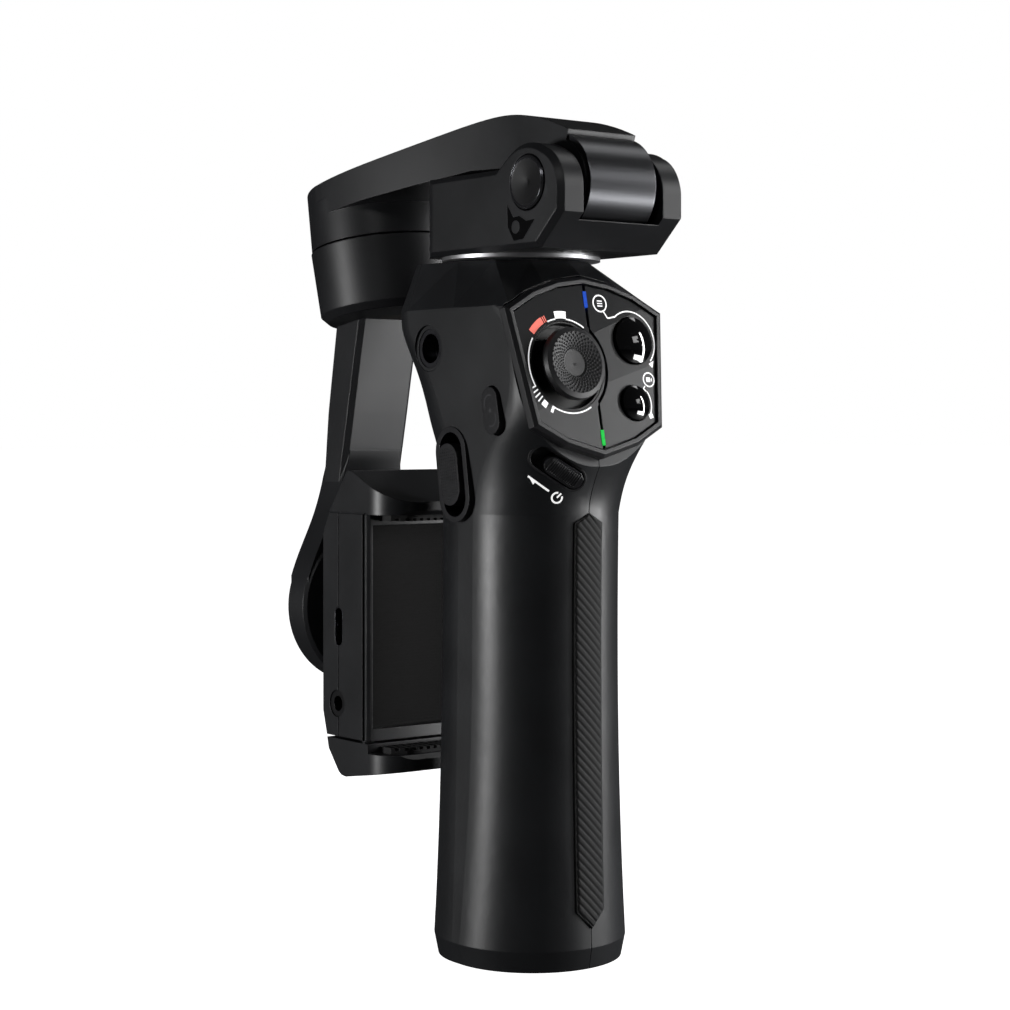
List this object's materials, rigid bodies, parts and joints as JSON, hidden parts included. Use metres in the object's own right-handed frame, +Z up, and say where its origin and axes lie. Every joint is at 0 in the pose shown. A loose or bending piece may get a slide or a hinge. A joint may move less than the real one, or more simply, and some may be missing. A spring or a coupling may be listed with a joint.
{
  "type": "gimbal stabilizer",
  "caption": "Folding handheld three-axis phone gimbal with oval grip, tilted control panel, folding arm and spring phone clamp, stored folded.",
  "frame": {"origin": "mouth of the tripod thread, at the centre of the handle's flat foot", "axes": "+Z up the handle along the pan axis, -Y out of the front where the control panel is, +X to the right of someone facing the panel"},
  "size_m": [0.0428, 0.1061, 0.1816],
  "materials": {
    "shell_plastic": "fine matte texture",
    "inner_plastic": "moulded",
    "soft_rubber": "soft matte",
    "panel_plastic": "satin",
    "gloss_black": "high gloss",
    "blue_light": "diffused light bar",
    "green_light": "diffused light bar",
    "bright_ring": "polished",
    "satin_sleeve": "satin anodised",
    "steel": "machined",
    "motor_iron": "varnished laminations",
    "board": "coated circuit board",
    "cell_wrap": "shrink wrap",
    "jack_plastic": "moulded"
  },
  "bodies": {
    "handle": {"left_grip_shell": "shell_plastic", "right_grip_shell": "shell_plastic", "grip_strip": "soft_rubber", "base_plate": "shell_plastic", "tripod_insert": "steel", "base_screws": "steel", "battery_cells": "cell_wrap", "battery_carrier": "inner_plastic", "main_board": "board", "panel_board": "board", "tact_switches": "inner_plastic", "panel_bezel": "panel_plastic", "panel_plate_left": "panel_plastic", "panel_plate_right": "panel_plastic", "blue_light_bar": "blue_light", "green_light_bar": "green_light", "joystick_well": "inner_plastic", "joystick_base": "inner_plastic", "zoom_bezel": "shell_plastic", "power_well": "shell_plastic", "accessory_insert": "steel", "pan_stator": "motor_iron", "pan_bearing": "steel"},
    "joystick_cradle": {"joystick_cradle": "inner_plastic"},
    "joystick": {"joystick_stem": "inner_plastic", "joystick_cap": "soft_rubber"},
    "capture_button": {"capture_button": "gloss_black"},
    "record_button": {"record_button": "gloss_black"},
    "power_knob": {"power_knob": "panel_plastic"},
    "zoom_slider": {"zoom_slider": "panel_plastic"},
    "mode_button": {"mode_button": "panel_plastic"},
    "pan_head": {"hinge_block": "shell_plastic", "pan_ring": "bright_ring", "pan_rotor": "steel", "hinge_pin": "steel", "hinge_cap": "shell_plastic", "lock_mark": "panel_plastic"},
    "release_button": {"release_button": "bright_ring"},
    "main_arm": {"main_arm": "shell_plastic", "arm_cover": "shell_plastic", "hinge_sleeve": "satin_sleeve", "tilt_stator": "motor_iron", "tilt_bearing": "steel"},
    "second_arm": {"tilt_cup": "shell_plastic", "tilt_rotor": "steel", "lower_arm": "shell_plastic", "motor_cover": "shell_plastic", "roll_stator": "motor_iron"},
    "clamp": {"roll_hub": "steel", "clamp_shell": "shell_plastic", "clamp_frame": "shell_plastic", "phone_pad": "soft_rubber", "usb_port": "steel", "audio_jack": "jack_plastic", "top_jaw": "shell_plastic", "top_jaw_pad": "soft_rubber", "clamp_spring": "steel"},
    "lower_jaw": {"lower_jaw": "shell_plastic", "lower_jaw_pad": "soft_rubber", "guide_rods": "steel"}
  },
  "joints": [
    {"name": "pan", "type": "hinge", "parent": "handle", "child": "pan_head", "pos_m": [0, 0.003, 0.15], "axis": [0, 0, 1], "range_deg": [-155, 155]},
    {"name": "fold", "type": "hinge", "parent": "pan_head", "child": "main_arm", "pos_m": [0, -0.021, 0.1652], "axis": [1, 0, 0], "range_deg": [0, 99]},
    {"name": "tilt", "type": "hinge", "parent": "main_arm", "child": "second_arm", "pos_m": [0, 0.0549, 0.1572], "axis": [0, 0.1582, 0.9874], "range_deg": [-25, 25]},
    {"name": "roll", "type": "hinge", "parent": "second_arm", "child": "clamp", "pos_m": [0, 0.06, 0.072], "axis": [0, 1, 0], "range_deg": [-100, 100]},
    {"name": "jaw_slide", "type": "slide", "parent": "clamp", "child": "lower_jaw", "axis": [0, 0, -1], "range_m": [0, 0.032], "stiffness_N_per_m": 60, "springref_m": -0.02, "deforming": ["clamp_spring"]},
    {"name": "stick_updown", "type": "hinge", "parent": "handle", "child": "joystick_cradle", "pos_m": [-0.0068, -0.01649, 0.12637], "axis": [1, 0, 0], "range_deg": [-8, 8], "stiffness_Nm_per_rad": 0.02},
    {"name": "stick_sideways", "type": "hinge", "parent": "joystick_cradle", "child": "joystick", "pos_m": [-0.0068, -0.01649, 0.12637], "axis": [0, 0.1994, 0.9799], "range_deg": [-8, 8], "stiffness_Nm_per_rad": 0.02},
    {"name": "capture_press", "type": "slide", "parent": "handle", "child": "capture_button", "axis": [0, 0.9799, -0.1994], "range_m": [0, 0.0008], "stiffness_N_per_m": 600, "springref_m": -0.001},
    {"name": "record_press", "type": "slide", "parent": "handle", "child": "record_button", "axis": [0, 0.9799, -0.1994], "range_m": [0, 0.0008], "stiffness_N_per_m": 600, "springref_m": -0.001},
    {"name": "power_slide", "type": "slide", "parent": "handle", "child": "power_knob", "axis": [-0.8372, 0.1845, 0.5148], "range_m": [0, 0.0031], "stiffness_N_per_m": 150, "springref_m": -0.002},
    {"name": "zoom_slide", "type": "slide", "parent": "handle", "child": "zoom_slider", "axis": [0, 0.1478, 0.989], "range_m": [-0.002, 0.002], "stiffness_N_per_m": 300},
    {"name": "mode_press", "type": "slide", "parent": "handle", "child": "mode_button", "axis": [1, 0, 0], "range_m": [0, 0.0005], "stiffness_N_per_m": 600, "springref_m": -0.001},
    {"name": "release_press", "type": "slide", "parent": "pan_head", "child": "release_button", "axis": [1, 0, 0], "range_m": [0, 0.0014], "stiffness_N_per_m": 600, "springref_m": -0.001}
  ]
}
